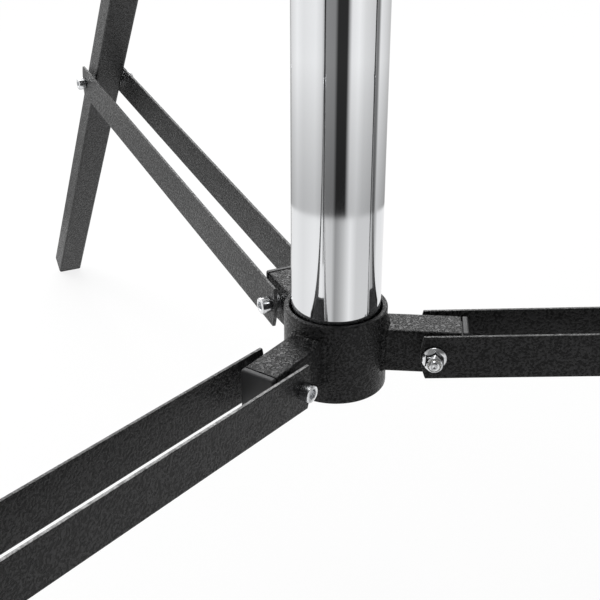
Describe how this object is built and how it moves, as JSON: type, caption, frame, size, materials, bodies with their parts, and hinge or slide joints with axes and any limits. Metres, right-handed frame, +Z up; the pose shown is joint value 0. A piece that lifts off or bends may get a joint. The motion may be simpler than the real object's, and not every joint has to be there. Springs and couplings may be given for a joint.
{
  "type": "wind-up light stand",
  "caption": "Folding tripod stand with a chromed telescopic mast raised by a geared hand winch, for carrying a lamp on a spigot.",
  "frame": {"origin": "floor level, the middle of the rectangle that spans the three feet", "axes": "+Z up along the mast; +X roughly along the first leg, which points 5 degrees to its right"},
  "size_m": [1.055, 1.1592, 1.7637],
  "materials": {
    "powder_coat": "fine textured black powder coat",
    "chrome": "polished",
    "zinc": "bright zinc plated",
    "steel": "machined",
    "steel_rope": "galvanised wire rope",
    "black_plastic": "moulded, satin",
    "nylon": "natural nylon"
  },
  "bodies": {
    "mast": {"mast_tube": "chrome", "hub": "powder_coat", "lug_plug_1": "black_plastic", "lug_plug_2": "black_plastic", "lug_plug_3": "black_plastic", "hub_bolt_1": "zinc", "hub_bolt_2": "zinc", "hub_bolt_3": "zinc", "winch_frame": "powder_coat", "winch_ubolt_upper": "zinc", "winch_ubolt_lower": "zinc", "drum_shaft": "zinc", "winch_rope": "steel_rope", "mast_head": "powder_coat"},
    "brace_1": {"brace_left_1": "powder_coat", "brace_right_1": "powder_coat", "knee_bolt_1": "zinc", "knee_nut_1": "zinc"},
    "brace_2": {"brace_left_2": "powder_coat", "brace_right_2": "powder_coat", "knee_bolt_2": "zinc", "knee_nut_2": "zinc"},
    "brace_3": {"brace_left_3": "powder_coat", "brace_right_3": "powder_coat", "knee_bolt_3": "zinc", "knee_nut_3": "zinc"},
    "leg_collar": {"slide_collar": "powder_coat", "collar_bolt_1": "zinc", "collar_bolt_2": "zinc", "collar_bolt_3": "zinc"},
    "leg_1": {"leg_1": "powder_coat", "foot_cap_1": "black_plastic", "leg_plug_1": "black_plastic"},
    "leg_2": {"leg_2": "powder_coat", "foot_cap_2": "black_plastic", "leg_plug_2": "black_plastic"},
    "leg_3": {"leg_3": "powder_coat", "foot_cap_3": "black_plastic", "leg_plug_3": "black_plastic"},
    "clamp_knob": {"clamp_knob": "black_plastic"},
    "drum": {"drum": "zinc", "drum_gear": "steel", "drum_winding": "steel_rope"},
    "crank": {"pinion_shaft": "steel", "crank_arm": "zinc"},
    "crank_grip": {"crank_grip": "black_plastic"},
    "pawl": {"pawl": "steel"},
    "head_pulley": {"head_pulley": "zinc"},
    "head_knob": {"head_knob": "black_plastic"},
    "section_1": {"section_1_tube": "chrome", "section_1_bush": "nylon", "section_head": "powder_coat", "lift_rope_inner": "steel_rope", "lift_rope_outer": "steel_rope"},
    "section_pulley": {"section_pulley": "zinc"},
    "section_2": {"section_2_tube": "chrome", "section_2_bush": "nylon", "spigot_head": "powder_coat"},
    "spigot_knob": {"spigot_knob": "black_plastic"}
  },
  "joints": [
    {"name": "collar_slide", "type": "slide", "parent": "mast", "child": "leg_collar", "axis": [0, 0, 1], "range_m": [0, 0.50351]},
    {"name": "leg_1_fold", "type": "hinge", "parent": "leg_collar", "child": "leg_1", "pos_m": [-0.08121, -0.03299, 0.77104], "axis": [0.0872, 0.9962, 0], "range_deg": [-0.1, 38.35]},
    {"name": "brace_1_fold", "type": "hinge", "parent": "mast", "child": "brace_1", "pos_m": [-0.08121, -0.03299, 0.24561], "axis": [-0.0872, -0.9962, 0], "range_deg": [-0.1, 86.2]},
    {"name": "leg_2_fold", "type": "hinge", "parent": "leg_collar", "child": "leg_2", "pos_m": [-0.15995, 0.02215, 0.77104], "axis": [-0.9063, -0.4226, 0], "range_deg": [-0.1, 38.35]},
    {"name": "brace_2_fold", "type": "hinge", "parent": "mast", "child": "brace_2", "pos_m": [-0.15995, 0.02215, 0.24561], "axis": [0.9063, 0.4226, 0], "range_deg": [-0.1, 86.2]},
    {"name": "leg_3_fold", "type": "hinge", "parent": "leg_collar", "child": "leg_3", "pos_m": [-0.16833, -0.07361, 0.77104], "axis": [0.8192, -0.5736, 0], "range_deg": [-0.1, 38.35]},
    {"name": "brace_3_fold", "type": "hinge", "parent": "mast", "child": "brace_3", "pos_m": [-0.16833, -0.07361, 0.24561], "axis": [-0.8192, 0.5736, 0], "range_deg": [-0.1, 86.2]},
    {"name": "clamp_knob_turn", "type": "hinge", "parent": "leg_collar", "child": "clamp_knob", "pos_m": [-0.12382, -0.05534, 0.77104], "axis": [0.4226, -0.9063, 0], "range_deg": [0, 720]},
    {"name": "crank_turn", "type": "hinge", "parent": "mast", "child": "crank", "pos_m": [-0.10696, -0.0915, 1.36256], "axis": [0.9063, 0.4226, 0], "range_deg": [0, 7560]},
    {"name": "drum_spin", "type": "hinge", "parent": "mast", "child": "drum", "pos_m": [-0.10696, -0.0915, 1.41056], "axis": [0.9063, 0.4226, 0], "range_deg": [-2521, 1]},
    {"name": "crank_grip_spin", "type": "hinge", "parent": "crank", "child": "crank_grip", "pos_m": [-0.10696, -0.0915, 1.19256], "axis": [0.9063, 0.4226, 0], "continuous": true},
    {"name": "pawl_lift", "type": "hinge", "parent": "mast", "child": "pawl", "pos_m": [-0.07918, -0.05879, 1.39522], "axis": [-0.9063, -0.4226, 0], "range_deg": [0, 20]},
    {"name": "section_1_slide", "type": "slide", "parent": "mast", "child": "section_1", "axis": [0, 0, 1], "range_m": [-0.0005, 1.0033], "deforming": ["lift_rope_outer"]},
    {"name": "section_2_slide", "type": "slide", "parent": "section_1", "child": "section_2", "axis": [0, 0, 1], "range_m": [-0.0005, 1.0033]},
    {"name": "head_pulley_spin", "type": "hinge", "parent": "mast", "child": "head_pulley", "pos_m": [-0.11991, -0.06372, 1.56806], "axis": [0.9063, 0.4226, 0], "range_deg": [-1, 3194]},
    {"name": "section_pulley_spin", "type": "hinge", "parent": "section_1", "child": "section_pulley", "pos_m": [-0.14822, -0.003, 1.64611], "axis": [0.9063, 0.4226, 0], "range_deg": [-4790, 1]},
    {"name": "head_knob_turn", "type": "hinge", "parent": "mast", "child": "head_knob", "pos_m": [-0.1084, -0.01505, 1.57055], "axis": [0.9063, 0.4226, 0], "range_deg": [0, 720]},
    {"name": "spigot_knob_turn", "type": "hinge", "parent": "section_2", "child": "spigot_knob", "pos_m": [-0.11837, -0.0197, 1.73116], "axis": [0.9063, 0.4226, 0], "range_deg": [0, 720]}
  ],
  "couplings": [
    {"joint": "leg_1_fold", "follows": "collar_slide", "rad_per_m": 1.3259},
    {"joint": "brace_1_fold", "follows": "collar_slide", "rad_per_m": 2.9845},
    {"joint": "leg_2_fold", "follows": "collar_slide", "rad_per_m": 1.3259},
    {"joint": "brace_2_fold", "follows": "collar_slide", "rad_per_m": 2.9845},
    {"joint": "leg_3_fold", "follows": "collar_slide", "rad_per_m": 1.3259},
    {"joint": "brace_3_fold", "follows": "collar_slide", "rad_per_m": 2.9845},
    {"joint": "drum_spin", "follows": "crank_turn", "ratio": -0.33333},
    {"joint": "section_1_slide", "follows": "crank_turn", "m_per_rad": 0.0076},
    {"joint": "section_2_slide", "follows": "crank_turn", "m_per_rad": 0.0076},
    {"joint": "head_pulley_spin", "follows": "crank_turn", "ratio": 0.42222},
    {"joint": "section_pulley_spin", "follows": "crank_turn", "ratio": -0.63333}
  ]
}
